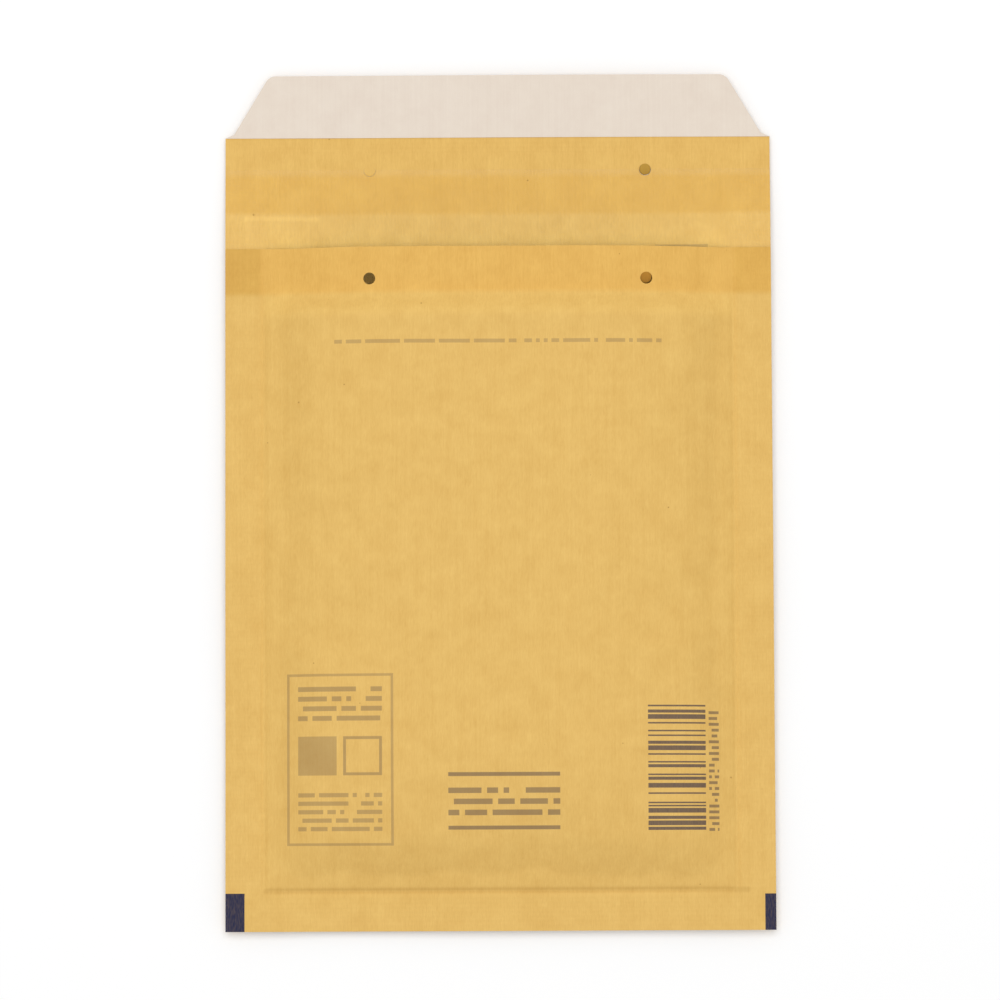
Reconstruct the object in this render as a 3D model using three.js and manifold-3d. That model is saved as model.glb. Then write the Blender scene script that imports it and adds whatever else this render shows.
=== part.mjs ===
import * as THREE from 'three';
import { mergeVertices } from 'three/addons/utils/BufferGeometryUtils.js';
import Module from 'manifold-3d';

// A padded envelope, empty, lying on its back with its flap open.
// Millimetres: +X runs across it, +Y from its sealed bottom edge to the end of its flap, +Z out of its front.
// The origin is under the middle of the whole outline, on the surface that the envelope lies on.

// Outline
const BODY_WIDTH = 170; // across both side seals
const BODY_LENGTH = 225; // from the bottom edge to the fold of the flap
const MOUTH_SETBACK = 13; // from the fold down to the free edge of the front sheet
const FLAP_STRAIGHT = 22; // the length of flap that keeps the full width
const FLAP_TAPER = 19.5; // the length of flap that narrows towards its end
const TAPER_INSET = 14.7; // how far each side comes in along the taper

// Seals, and the bands where a lining is welded flat to its sheet
const SIDE_SEAL = 12;
const BOTTOM_SEAL = 12.5;
const MOUTH_WELD = 13.4; // under the free edge of the front sheet
const FLAP_WELD = 12; // above the fold of the flap
const WELD_EDGE = 8; // the length over which full bubbles thin down to a weld

// Thicknesses
const PAPER = 0.12;
const FLAT_FILM = 0.16; // bubble film pressed flat
const BUBBLE_FILM = 3; // bubble film with its air
const ADHESIVE = 0.06;
const LINER = 0.08;
const LAYER_GAP = 0.03; // clearance between layers that are stuck together

// Pillow shape
const POCKET_DEPTH = 6.5; // clear height between the two linings
const SEAL_LIFT = 2.5; // height of the sealed edges over the surface
const PAD_EDGE = 18; // the width over which the padding fills out beside a seal
const SHOULDER = 50; // the width over which the pocket opens to its full depth
const FLAP_LIFT = 2.5; // height of the end of the flap over the surface

// Punched holes, a pair through the front sheet and a pair of knock-outs in the flap
const HOLE_DIAMETER = 3.7;
const HOLE_SPACING = 86;
const HOLE_SHIFT = 3; // both pairs sit this far to the right of the middle
const FRONT_HOLE_DROP = 10; // below the free edge of the front sheet
const FLAP_HOLE_RISE = 11.8; // above the fold of the flap
const KNOCK_OUT_CUT = 0.3; // width of the cut around a disc that is still in place
const KNOCK_OUT_BRIDGE = 1.2; // width of the paper that still holds the disc
const HOLE_SIDES = 24;

const ADHESIVE_MARGIN = 2.5; // from the edge of the liner to the adhesive under it

// Lines that the pieces share
const HALF_WIDTH = BODY_WIDTH / 2;
const FLAP_LENGTH = FLAP_STRAIGHT + FLAP_TAPER;
const BOTTOM_Y = -(BODY_LENGTH + FLAP_LENGTH) / 2;
const FOLD_Y = BOTTOM_Y + BODY_LENGTH;
const MOUTH_Y = FOLD_Y - MOUTH_SETBACK;
const TAPER_Y = FOLD_Y + FLAP_STRAIGHT;
const END_Y = FOLD_Y + FLAP_LENGTH;
const SEAL_X = HALF_WIDTH - SIDE_SEAL; // inner edge of a side seal
const SEAL_Y = BOTTOM_Y + BOTTOM_SEAL; // inner edge of the bottom seal
const WELD_Y = MOUTH_Y - MOUTH_WELD; // lower edge of the weld under the mouth
const PUNCH_LENGTH = 4 * (POCKET_DEPTH + 2 * BUBBLE_FILM); // clears every layer, up and down

const wasm = await Module();
wasm.setup();

const { clamp, smoothstep } = THREE.MathUtils;

// Share of the full height: 0 on the seals, and 1 from a width away from them
const swell = (distance, width) => Math.sin((Math.PI / 2) * clamp(distance / width, 0, 1));
const fromSeals = (x, y, width) => swell(SEAL_X - Math.abs(x), width) * swell(y - SEAL_Y, width);

// Film thickness: full bubbles away from the seals, thinning to a weld that starts at weldY
const lining = (x, y, weldY) => {
  const bubbles = fromSeals(x, y, PAD_EDGE) * (1 - smoothstep(y, weldY - WELD_EDGE, weldY));
  return FLAT_FILM + (BUBBLE_FILM - FLAT_FILM) * bubbles;
};

// Heights of the layers, from the surface up
const backSheetUnder = (x, y) => {
  const sealed = SEAL_LIFT * (1 - fromSeals(x, y, PAD_EDGE)) * (1 - smoothstep(y, MOUTH_Y, TAPER_Y));
  return sealed + FLAP_LIFT * Math.max(0, y - MOUTH_Y) / (END_Y - MOUTH_Y);
};
const backSheetOver = (x, y) => backSheetUnder(x, y) + PAPER;
const backLiningUnder = (x, y) => backSheetOver(x, y) + LAYER_GAP;
const backLiningOver = (x, y) => backLiningUnder(x, y) + lining(x, y, FOLD_Y);
const frontLiningUnder = (x, y) => {
  const pocket = LAYER_GAP + (POCKET_DEPTH - LAYER_GAP) * fromSeals(x, y, SHOULDER);
  return backLiningOver(x, y) + pocket;
};
const frontLiningOver = (x, y) => frontLiningUnder(x, y) + lining(x, y, WELD_Y);
const frontSheetUnder = (x, y) => frontLiningOver(x, y) + LAYER_GAP;
const frontSheetOver = (x, y) => frontSheetUnder(x, y) + PAPER;
const adhesiveUnder = (x, y) => backSheetOver(x, y) + LAYER_GAP;
const adhesiveOver = (x, y) => adhesiveUnder(x, y) + ADHESIVE;
const linerUnder = (x, y) => adhesiveOver(x, y) + LAYER_GAP;
const linerOver = (x, y) => linerUnder(x, y) + LINER;

// Share of the full width that the outline has at a height y
const widthShare = (y) => 1 - (TAPER_INSET / HALF_WIDTH) * clamp((y - TAPER_Y) / FLAP_TAPER, 0, 1);

// Lines from a start on, in runs of [end, number of equal steps]
function gridLines(start, runs) {
  const lines = [start];
  for (const [end, steps] of runs) {
    const from = lines.at(-1);
    for (let step = 1; step <= steps; step++) {
      lines.push(THREE.MathUtils.lerp(from, end, step / steps));
    }
  }
  return lines;
}

const COLUMNS = gridLines(-HALF_WIDTH, [
  [-SEAL_X, 1],
  [-SEAL_X + PAD_EDGE, 4],
  [-SEAL_X + SHOULDER, 3],
  [SEAL_X - SHOULDER, 2],
  [SEAL_X - PAD_EDGE, 3],
  [SEAL_X, 4],
  [HALF_WIDTH, 1],
]);
const FRONT_ROWS = gridLines(BOTTOM_Y, [
  [SEAL_Y, 1],
  [SEAL_Y + PAD_EDGE, 4],
  [SEAL_Y + SHOULDER, 3],
  [WELD_Y - WELD_EDGE, 4],
  [WELD_Y, 3],
  [MOUTH_Y, 2],
]);
const BACK_LINING_ROWS = FRONT_ROWS.concat(gridLines(MOUTH_Y, [
  [FOLD_Y, 4],
  [FOLD_Y + FLAP_WELD, 3],
]).slice(1));
const BACK_SHEET_ROWS = BACK_LINING_ROWS.concat(gridLines(FOLD_Y + FLAP_WELD, [
  [TAPER_Y, 2],
  [END_Y, 1],
]).slice(1));

function withSharedVertices(geometry) {
  geometry.deleteAttribute('normal');
  geometry.deleteAttribute('uv');
  return mergeVertices(geometry);
}

// A closed sheet: a box with one cell for each cell of the grid, whose lower and upper faces
// are moved to the heights that under and over give
function sheet(columns, rows, under, over) {
  const across = columns.length - 1;
  const along = rows.length - 1;
  const geometry = new THREE.BoxGeometry(across, along, 1, across, along, 1);
  const corners = geometry.attributes.position;
  for (let i = 0; i < corners.count; i++) {
    const y = rows[Math.round(corners.getY(i) + along / 2)];
    const x = columns[Math.round(corners.getX(i) + across / 2)] * widthShare(y);
    const height = corners.getZ(i) < 0 ? under : over;
    corners.setXYZ(i, x, y, height(x, y));
  }
  splitLikeUpperFace(geometry);
  return withSharedVertices(geometry);
}

// Splits the box's lower face, its last group, along the same diagonals as its upper face,
// so that the sheets in a stack follow each other exactly
function splitLikeUpperFace(geometry) {
  const { index, groups } = geometry;
  const { start, count } = groups.at(-1);
  for (let i = start; i < start + count; i += 6) {
    index.setX(i + 2, index.getX(i + 4));
    index.setX(i + 3, index.getX(i));
  }
}

function toSolid(geometry) {
  return new wasm.Manifold(new wasm.Mesh({
    numProp: 3,
    vertProperties: new Float32Array(geometry.attributes.position.array),
    triVerts: new Uint32Array(geometry.index.array),
  }));
}

function toGeometry(solid) {
  const { vertProperties, triVerts } = solid.getMesh();
  const geometry = new THREE.BufferGeometry();
  geometry.setAttribute('position', new THREE.BufferAttribute(vertProperties, 3));
  geometry.setIndex(new THREE.BufferAttribute(triVerts, 1));
  return geometry;
}

function punch(diameter, x, y) {
  const radius = diameter / 2;
  const cylinder = new THREE.CylinderGeometry(radius, radius, PUNCH_LENGTH, HOLE_SIDES);
  cylinder.rotateX(Math.PI / 2).translate(x, y, 0);
  return toSolid(withSharedVertices(cylinder));
}

// The cut around a disc that hangs on by a bridge at its top
function knockOut(x, y) {
  const disc = punch(HOLE_DIAMETER - 2 * KNOCK_OUT_CUT, x, y);
  const bridge = new THREE.BoxGeometry(KNOCK_OUT_BRIDGE, HOLE_DIAMETER, PUNCH_LENGTH);
  bridge.translate(x, y + HOLE_DIAMETER / 2, 0);
  const held = disc.add(toSolid(withSharedVertices(bridge)));
  return punch(HOLE_DIAMETER, x, y).subtract(held);
}

function withHoles(geometry, cutters) {
  const cut = cutters.reduce((solid, cutter) => solid.subtract(cutter), toSolid(geometry));
  return toGeometry(cut);
}

const HOLE_X = [HOLE_SHIFT - HOLE_SPACING / 2, HOLE_SHIFT + HOLE_SPACING / 2];
const frontHoles = HOLE_X.map((x) => punch(HOLE_DIAMETER, x, MOUTH_Y - FRONT_HOLE_DROP));
const flapKnockOuts = HOLE_X.map((x) => knockOut(x, FOLD_Y + FLAP_HOLE_RISE));
const flapHoles = HOLE_X.map((x) => punch(HOLE_DIAMETER, x, FOLD_Y + FLAP_HOLE_RISE));

// Materials
const kraft = new THREE.MeshStandardMaterial({ color: 0xe5bd6d, roughness: 0.75, metalness: 0 });
const film = new THREE.MeshStandardMaterial({ color: 0xece9e0, roughness: 0.3, metalness: 0 });
const tack = new THREE.MeshStandardMaterial({ color: 0xe6d9b0, roughness: 0.25, metalness: 0 });
const linerPaper = new THREE.MeshStandardMaterial({ color: 0xeadacc, roughness: 0.45, metalness: 0 });

const envelope = new THREE.Group();

function addPiece(name, geometry, material) {
  geometry.computeVertexNormals();
  const piece = new THREE.Mesh(geometry, material);
  piece.name = name;
  envelope.add(piece);
}

// Back sheet, with the flap
const backSheet = sheet(COLUMNS, BACK_SHEET_ROWS, backSheetUnder, backSheetOver);
addPiece('back_sheet', withHoles(backSheet, flapKnockOuts), kraft);

// Bubble film on the back sheet, reaching up the flap
const backLining = sheet(COLUMNS, BACK_LINING_ROWS, backLiningUnder, backLiningOver);
addPiece('back_lining', withHoles(backLining, flapHoles), film);

// Bubble film on the front sheet
const frontLining = sheet(COLUMNS, FRONT_ROWS, frontLiningUnder, frontLiningOver);
addPiece('front_lining', withHoles(frontLining, frontHoles), film);

// Front sheet
const frontSheet = sheet(COLUMNS, FRONT_ROWS, frontSheetUnder, frontSheetOver);
addPiece('front_sheet', withHoles(frontSheet, frontHoles), kraft);

// Adhesive on the tapered end of the flap
const adhesiveColumns = [ADHESIVE_MARGIN - HALF_WIDTH, HALF_WIDTH - ADHESIVE_MARGIN];
const adhesiveRows = [TAPER_Y + ADHESIVE_MARGIN, END_Y - ADHESIVE_MARGIN];
addPiece('adhesive_strip', sheet(adhesiveColumns, adhesiveRows, adhesiveUnder, adhesiveOver), tack);

// Peel-off liner over the adhesive
const linerColumns = [-HALF_WIDTH, HALF_WIDTH];
addPiece('release_liner', sheet(linerColumns, [TAPER_Y, END_Y], linerUnder, linerOver), linerPaper);

export default envelope;
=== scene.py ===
# %% [markdown]
# # A padded envelope
# A padded envelope is two sheets of golden kraft paper, each lined with bubble film. The two lined
# sheets are welded together along the bottom and both sides, and the back sheet runs on as a flap
# with a sticky strip under a peel-off liner. It lies empty on its back, with the flap open.
# The CAD frame gives the size and the place of every piece, so the lesson starts by loading it.

# %% Load the frame
import math

import bpy
import numpy as np
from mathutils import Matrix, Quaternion, Vector


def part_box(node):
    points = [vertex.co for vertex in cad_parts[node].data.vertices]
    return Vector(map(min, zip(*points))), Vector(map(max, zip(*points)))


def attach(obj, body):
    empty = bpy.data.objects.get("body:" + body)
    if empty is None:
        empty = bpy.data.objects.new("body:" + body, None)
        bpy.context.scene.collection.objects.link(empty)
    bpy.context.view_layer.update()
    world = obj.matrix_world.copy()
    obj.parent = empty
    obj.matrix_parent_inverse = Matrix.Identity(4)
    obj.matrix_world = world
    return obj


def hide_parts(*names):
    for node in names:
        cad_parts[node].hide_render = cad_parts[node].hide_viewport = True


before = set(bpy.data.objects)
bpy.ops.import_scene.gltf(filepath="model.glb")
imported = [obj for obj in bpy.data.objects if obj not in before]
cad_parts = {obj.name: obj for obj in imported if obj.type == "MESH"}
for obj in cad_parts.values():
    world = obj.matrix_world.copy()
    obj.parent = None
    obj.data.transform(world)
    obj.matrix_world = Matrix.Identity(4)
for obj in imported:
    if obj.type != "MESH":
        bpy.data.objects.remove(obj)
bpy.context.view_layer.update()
print("CAD nodes:", sorted(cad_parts))

# %% [markdown]
# ## Sizes
# The outer lines come from the frame's nodes. The seals, welds and layers are the same real sizes as
# in the CAD model, written once here in metres.

# %% Lines from the frame
MM = 0.001
back_low, back_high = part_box("back_sheet")
strip_low, strip_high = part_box("adhesive_strip")
front_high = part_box("front_sheet")[1]
lining_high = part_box("back_lining")[1]
liner_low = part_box("release_liner")[0]

HALF_WIDTH = back_high.x
BOTTOM_Y = back_low.y
MOUTH_Y = front_high.y
END_Y = back_high.y
TAPER_Y = liner_low.y
FILM_END_Y = lining_high.y
print("width", 2 * HALF_WIDTH, "length", END_Y - BOTTOM_Y)

# %% Seals, welds and layers
SIDE_SEAL = 12 * MM
BOTTOM_SEAL = 12.5 * MM
MOUTH_WELD = 13.4 * MM
FLAP_WELD = 12 * MM
WELD_EDGE = 8 * MM  # the bubbles fade out over this length before a weld
PAPER = 0.12 * MM
FLAT_FILM = 0.16 * MM
BUBBLE_FILM = 3 * MM
LINER_PAPER = 0.08 * MM
ADHESIVE = 0.06 * MM
LAYER_GAP = 0.03 * MM
POCKET_DEPTH = 6.5 * MM
SEAL_LIFT = 2.5 * MM  # the padding holds the seals this far off the floor
PAD_EDGE = 18 * MM  # the padding is full this far in from a seal
SHOULDER = 50 * MM  # the pocket is fully open this far in from a seal
FLAP_LIFT = 2.5 * MM

SEAL_X = HALF_WIDTH - SIDE_SEAL
SEAL_Y = BOTTOM_Y + BOTTOM_SEAL
FOLD_Y = FILM_END_Y - FLAP_WELD
WELD_Y = MOUTH_Y - MOUTH_WELD
print("fold at", FOLD_Y, "and weld under the mouth at", WELD_Y)

# %% [markdown]
# ## Heights
# Every layer is laid out over the same plan, and its height is worked out from the layer below, so that
# layers which lie on each other never cross. The heights say how far the pouch has opened at a place:
# the padding fills out close to the seals, and the pocket opens further in.
# A hot bar presses the seals, so a narrow groove runs along their inner edges. Edges that have been
# handled aren't quite straight, so slow waves run along the seals and across the flap.

# %% Soft rises


def swell(distance, width):
    """Rises like a quarter of a wave, from 0 at a line to 1 at a width from it."""
    return np.sin(0.5 * math.pi * np.clip(distance / width, 0, 1))


def from_seals(x, y, width):
    """0 on the seals, and 1 from a width inside them on."""
    return swell(SEAL_X - np.abs(x), width) * swell(y - SEAL_Y, width)


def smooth_step(value, low, high):
    """Goes from 0 at low to 1 at high, and starts and ends gently."""
    share = np.clip((value - low) / (high - low), 0, 1)
    return share * share * (3 - 2 * share)


print("half way along, a swell is at", swell(0.5, 1), "and a step at", smooth_step(0.5, 0, 1))

# %% Waves and grooves
SIDE_WAVES = (17 * MM, 31 * MM)
SIDE_SHIFTS = (3, 1)
BOTTOM_WAVES = (14 * MM, 26 * MM)
BOTTOM_SHIFT = 2
GROOVE_WIDTH = 0.9 * MM
SIDE_GROOVE = 0.8  # the sides are pressed less deeply than the bottom


def edge_wave(x, y):
    """Slow waves along the sealed edges, from -1 to 1, with the two sides out of step."""
    along_sides = np.sin(y / SIDE_WAVES[0] + SIDE_SHIFTS[0] * np.sign(x))
    along_sides = along_sides + np.sin(y / SIDE_WAVES[1] + SIDE_SHIFTS[1])
    along_bottom = np.sin(x / BOTTOM_WAVES[0] + BOTTOM_SHIFT) + np.sin(x / BOTTOM_WAVES[1])
    at_side = smooth_step(np.abs(x), SEAL_X - PAD_EDGE, SEAL_X)
    return 0.5 * (along_bottom + (along_sides - along_bottom) * at_side)


def groove(x, y):
    """Depth share of the line that the hot bar pressed along the seals' inner edges."""
    bottom = np.exp(-(((y - SEAL_Y) / GROOVE_WIDTH) ** 2)) * smooth_step(SEAL_X - np.abs(x), -MM, MM)
    sides = np.exp(-(((np.abs(x) - SEAL_X) / GROOVE_WIDTH) ** 2)) * smooth_step(y - SEAL_Y, -MM, MM)
    return np.maximum(bottom, SIDE_GROOVE * sides * (1 - smooth_step(y, WELD_Y, MOUTH_Y)))


print("groove's depth share on the bottom seal's edge:", groove(0.0, SEAL_Y))

# %% Heights of the layers
EDGE_WAVE = 0.4 * MM
GROOVE_DEPTH = 0.35 * MM
FLAP_WAVE = 0.5 * MM
FLAP_WAVE_LENGTH = 27 * MM
FLAP_WAVE_SHIFT = 0.7


def lining_thickness(x, y, weld_y):
    bubbles = from_seals(x, y, PAD_EDGE) * (1 - smooth_step(y, weld_y - WELD_EDGE, weld_y))
    return FLAT_FILM + (BUBBLE_FILM - FLAT_FILM) * bubbles


def back_under(x, y):
    sealed = SEAL_LIFT + EDGE_WAVE * edge_wave(x, y) - GROOVE_DEPTH * groove(x, y)
    sealed = sealed * (1 - from_seals(x, y, PAD_EDGE)) * (1 - smooth_step(y, MOUTH_Y, TAPER_Y))
    raised = FLAP_LIFT * np.maximum(0, y - MOUTH_Y) / (END_Y - MOUTH_Y)
    wave = np.sin(x / FLAP_WAVE_LENGTH + FLAP_WAVE_SHIFT)
    return sealed + raised + FLAP_WAVE * smooth_step(y, FOLD_Y, END_Y) * wave


def back_inside(x, y):
    return back_under(x, y) + PAPER + LAYER_GAP + lining_thickness(x, y, FOLD_Y)


def front_under(x, y):
    pocket = LAYER_GAP + (POCKET_DEPTH - LAYER_GAP) * from_seals(x, y, SHOULDER)
    return back_inside(x, y) + pocket + lining_thickness(x, y, WELD_Y) + LAYER_GAP


print("pouch height in mm:", front_under(0.0, 0.0) / MM)

# %% [markdown]
# ## Helpers for the sheets
# A sheet starts as a grid primitive. Solidify gives it a second side, and then each vertex of the two
# sides goes to its own height. Solidify keeps the first side's vertices first, in rows, and adds the
# second side's in the same order, so plain arrays can be written to it. The second side and the rim
# take the second material slot, because paper that is printed on one side is plain on the other.

# %% Select and apply


def deselect_all():
    if bpy.context.object and bpy.context.object.mode != "OBJECT":
        bpy.ops.object.mode_set(mode="OBJECT")
    bpy.ops.object.select_all(action="DESELECT")


def select_only(piece):
    deselect_all()
    piece.select_set(True)
    bpy.context.view_layer.objects.active = piece


def apply_modifier(piece, modifier):
    select_only(piece)
    bpy.ops.object.modifier_apply(modifier=modifier.name)


deselect_all()
print("selected after loading and deselecting:", len(bpy.context.selected_objects))

# %% Grids and closed sheets


def add_grid(name, columns, rows):
    deselect_all()
    bpy.ops.mesh.primitive_grid_add(x_subdivisions=columns - 1, y_subdivisions=rows - 1, size=1)
    piece = bpy.context.object
    piece.name = name
    piece.data.name = name
    return piece


def write_points(piece, points):
    piece.data.vertices.foreach_set("co", np.ascontiguousarray(points, dtype=np.float32).ravel())
    piece.data.update()


def two_sided(name, upper, lower):
    """A closed sheet between two grids of points."""
    rows, columns = upper.shape[:2]
    piece = add_grid(name, columns, rows)
    piece.data.materials.append(None)
    piece.data.materials.append(None)
    solid = piece.modifiers.new("thickness", "SOLIDIFY")
    solid.thickness = PAPER
    solid.offset = -1
    solid.material_offset = 1
    solid.material_offset_rim = 1
    apply_modifier(piece, solid)
    write_points(piece, np.concatenate([upper.reshape(-1, 3), lower.reshape(-1, 3)]))
    print(name, len(piece.data.vertices), "vertices")
    return piece


def paper_sheet(name, middle, normals):
    """A sheet of paper, half its thickness to each side of a grid of points."""
    return two_sided(name, middle + normals * PAPER / 2, middle - normals * PAPER / 2)


print("paper's thickness in mm:", PAPER / MM)

# %% Lines and normals


def grid_lines(start, *runs):
    """Lines from start on, in runs of (end, number of equal steps)."""
    lines = [np.array([start])]
    for end, steps in runs:
        lines.append(np.linspace(lines[-1][-1], end, steps + 1)[1:])
    return np.concatenate(lines)


def normals_of(points):
    across = np.gradient(points, axis=1)
    along = np.gradient(points, axis=0)
    normals = np.cross(across, along)
    return normals / np.linalg.norm(normals, axis=2, keepdims=True)


print("lines in two runs:", grid_lines(0.0, (1.0, 2), (4.0, 3)))

# %% [markdown]
# ## The front sheet, blown up like the real pouch
# Paper that is held along straight seals can't bulge without puckers. Drawing those by hand looks
# drawn, so the sheet is simulated as cloth: its seals are pinned, it is a little larger than the room
# between them, and a light pressure lifts it. High bending stiffness keeps the puckers broad, as on
# lined paper. Only the puckers are kept, because the CAD model already gives the pouch its height.

# %% Cloth at the start
START_SHARE = 0.8  # the cloth starts lower than the finished pouch
SEAL_STEPS = 4
STEPS_ACROSS = 49
STEPS_ALONG = 67

step_columns = grid_lines(
    -HALF_WIDTH, (-SEAL_X, SEAL_STEPS), (SEAL_X, STEPS_ACROSS), (HALF_WIDTH, SEAL_STEPS)
)
step_rows = grid_lines(BOTTOM_Y, (SEAL_Y, SEAL_STEPS), (MOUTH_Y, STEPS_ALONG))
step_x, step_y = np.meshgrid(step_columns, step_rows)
front_mid = front_under(step_x, step_y) + PAPER / 2
seal_z = front_mid.min()
start_z = seal_z + START_SHARE * (front_mid - seal_z)
print("cloth grid:", step_x.shape)

# %% Simulate the front sheet
SLACK = 0.002
SIMULATED_FRAMES = 30
TINY = 0.01 * MM
CLOTH = {
    "vertex_group_mass": "seals",
    "quality": 8,
    "tension_stiffness": 80,
    "compression_stiffness": 80,
    "shear_stiffness": 40,
    "bending_stiffness": 120,
    "tension_damping": 25,
    "compression_damping": 25,
    "shear_damping": 25,
    "bending_damping": 5,
    "air_damping": 5,
    "use_pressure": True,
    "uniform_pressure_force": 3,
    "shrink_min": -SLACK,
}


def simulated_sheet():
    """Heights of the front sheet on the step grid after it was lifted as cloth."""
    rows, columns = step_x.shape
    cloth = add_grid("front_cloth", columns, rows)
    write_points(cloth, np.stack([step_x, step_y, start_z], axis=2))
    held = (np.abs(step_x) > SEAL_X - TINY) | (step_y < SEAL_Y + TINY)
    seals = cloth.vertex_groups.new(name="seals")
    seals.add([int(i) for i in np.flatnonzero(held)], 1.0, "REPLACE")
    modifier = cloth.modifiers.new("paper", "CLOTH")
    for name, value in CLOTH.items():
        setattr(modifier.settings, name, value)
    modifier.settings.effector_weights.gravity = 0
    modifier.collision_settings.use_collision = False
    modifier.point_cache.frame_end = SIMULATED_FRAMES
    for number in range(1, SIMULATED_FRAMES + 1):
        bpy.context.scene.frame_set(number)
    apply_modifier(cloth, modifier)
    points = np.empty(len(cloth.data.vertices) * 3, dtype=np.float32)
    cloth.data.vertices.foreach_get("co", points)
    bpy.data.objects.remove(cloth)
    bpy.context.scene.frame_set(1)
    return points.reshape(rows, columns, 3)[:, :, 2].astype(float)


print("frames to simulate:", SIMULATED_FRAMES)

# %% Keep the puckers
PUCKER_SHARE = 0.8
MOST_MOVE = 3 * MM
BULGE_PASSES = 120  # enough to blur the puckers away, so that only the bulge is left
PUCKER_EDGE = 6 * MM  # the puckers fade out over this length at the seals


def blurred(values, times):
    for _ in range(times):
        wide = np.pad(values, 1, mode="edge")
        values = (wide[:-2, 1:-1] + wide[2:, 1:-1] + wide[1:-1, :-2] + wide[1:-1, 2:]) / 4
    return values


puckers = np.zeros_like(front_mid)
puffed = simulated_sheet()
bulge = blurred(puffed, BULGE_PASSES)
puckers = np.clip(puffed - bulge, -MOST_MOVE, MOST_MOVE) * PUCKER_SHARE
puckers *= from_seals(step_x, step_y, PUCKER_EDGE)
print("puckers in mm:", puckers.min() / MM, puckers.max() / MM)

# %% [markdown]
# ## From steps to fine lines
# The cloth was simulated on steps of 3 mm, which would show as facets. A smooth curve through its points
# gives heights on lines 1 mm apart, and closer still at the grooves.

# %% Smooth curves
CURVE_STEPS = 8


def refine(values):
    """A smooth curve through the values along their first axis, with several steps for each one."""
    ends = np.concatenate([2 * values[:1] - values[1:2], values, 2 * values[-1:] - values[-2:-1]])
    before, here, after, beyond = ends[:-3], ends[1:-2], ends[2:-1], ends[3:]
    parts = []
    for step in range(CURVE_STEPS):
        t = step / CURVE_STEPS
        parts.append(
            here
            + 0.5 * t * (after - before)
            + t * t * (before - 2.5 * here + 2 * after - 0.5 * beyond)
            + t * t * t * (1.5 * (here - after) + 0.5 * (beyond - before))
        )
    fine = np.stack(parts, axis=1).reshape(-1, *values.shape[1:])
    return np.concatenate([fine, values[-1:]])


def at_lines(values, lines, new_lines):
    """Values given along their first axis at lines, worked out at new_lines."""
    smooth = refine(values)
    places = CURVE_STEPS * np.interp(new_lines, lines, np.arange(len(lines)))
    low = np.minimum(places.astype(int), len(smooth) - 2)
    share = (places - low)[:, None]
    return smooth[low] * (1 - share) + smooth[low + 1] * share


print("steps of the curve between two lines:", CURVE_STEPS)

# %% Fine lines
GROOVE_ROOM = 1.8 * MM
columns = grid_lines(
    -HALF_WIDTH,
    (-SEAL_X - GROOVE_ROOM, 9),
    (-SEAL_X + GROOVE_ROOM, 8),
    (SEAL_X - GROOVE_ROOM, 138),
    (SEAL_X + GROOVE_ROOM, 8),
    (HALF_WIDTH, 9),
)
front_rows = grid_lines(
    BOTTOM_Y, (SEAL_Y - GROOVE_ROOM, 10), (SEAL_Y + GROOVE_ROOM, 10), (MOUTH_Y, 194)
)
fine_x, fine_y = np.meshgrid(columns, front_rows)
fine_puckers = at_lines(at_lines(puckers, step_rows, front_rows).T, step_columns, columns).T
print("fine grid:", fine_x.shape)

# %% [markdown]
# ## Bubbles
# Bubble film is two films: one is flat, and the other is drawn into round domes and welded to it
# between them. The domes point at the paper and press a faint pattern into it, and the flat film faces
# the pocket, so that things slide in. The domes sit in staggered rows.

# %% Bubble pattern
BUBBLE_PITCH = 11 * MM
BUBBLE_RADIUS = 4.9 * MM
DOME_EDGE = 0.6 * BUBBLE_RADIUS  # a dome rises over this length and is flat further in
IMPRINT = 0.15 * MM


def bubble_dome(x, y):
    """Height share of the nearest bubble, from 0 between bubbles to 1 on top of one."""
    row_pitch = BUBBLE_PITCH * math.sqrt(3) / 2
    nearest = np.full(np.shape(x), np.inf)
    for shift in (0, 1):
        row = 2 * np.round((y / row_pitch - shift) / 2) + shift
        column = np.round(x / BUBBLE_PITCH - 0.5 * shift) + 0.5 * shift
        distance = np.hypot(x - column * BUBBLE_PITCH, y - row * row_pitch)
        nearest = np.minimum(nearest, distance)
    return smooth_step(BUBBLE_RADIUS - nearest, 0, DOME_EDGE)


def pressed(x, y, weld_y):
    """How far a bubble presses into the paper over it."""
    padding = (lining_thickness(x, y, weld_y) - FLAT_FILM) / (BUBBLE_FILM - FLAT_FILM)
    return IMPRINT * padding


print("bubbles across:", int(2 * SEAL_X / BUBBLE_PITCH))

# %% [markdown]
# ## Front sheet and its lining
# The front sheet takes the CAD height, the puckers and the faint bubble pattern. The lining hangs from
# its underside: the domes touch the paper, and the flat film lies a bubble's height further in. Where a
# pucker would push the lining into the one behind it, the sheet stays just clear.

# %% Front sheet
room_needed = back_inside(fine_x, fine_y) + lining_thickness(fine_x, fine_y, WELD_Y) + 2 * LAYER_GAP
front_z = np.maximum(front_under(fine_x, fine_y) + fine_puckers, room_needed) + PAPER / 2
front_base = np.stack([fine_x, fine_y, front_z], axis=2)
front_normals = normals_of(front_base)
front_dome = bubble_dome(fine_x, fine_y)
front_paper = front_base + front_normals * (pressed(fine_x, fine_y, WELD_Y) * front_dome)[..., None]
front_sheet = paper_sheet("kraft_front", front_paper, front_normals)
print("front sheet's top in mm:", front_paper[..., 2].max() / MM)

# %% Front lining
film_gap = PAPER / 2 + LAYER_GAP
thickness = lining_thickness(fine_x, fine_y, WELD_Y)
to_dome = film_gap + (thickness - FLAT_FILM) * (1 - front_dome)
front_lining = two_sided(
    "bubbles_front",
    front_paper - front_normals * to_dome[..., None],
    front_base - front_normals * (film_gap + thickness)[..., None],
)
print("front lining's thickest in mm:", thickness.max() / MM)

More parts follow.
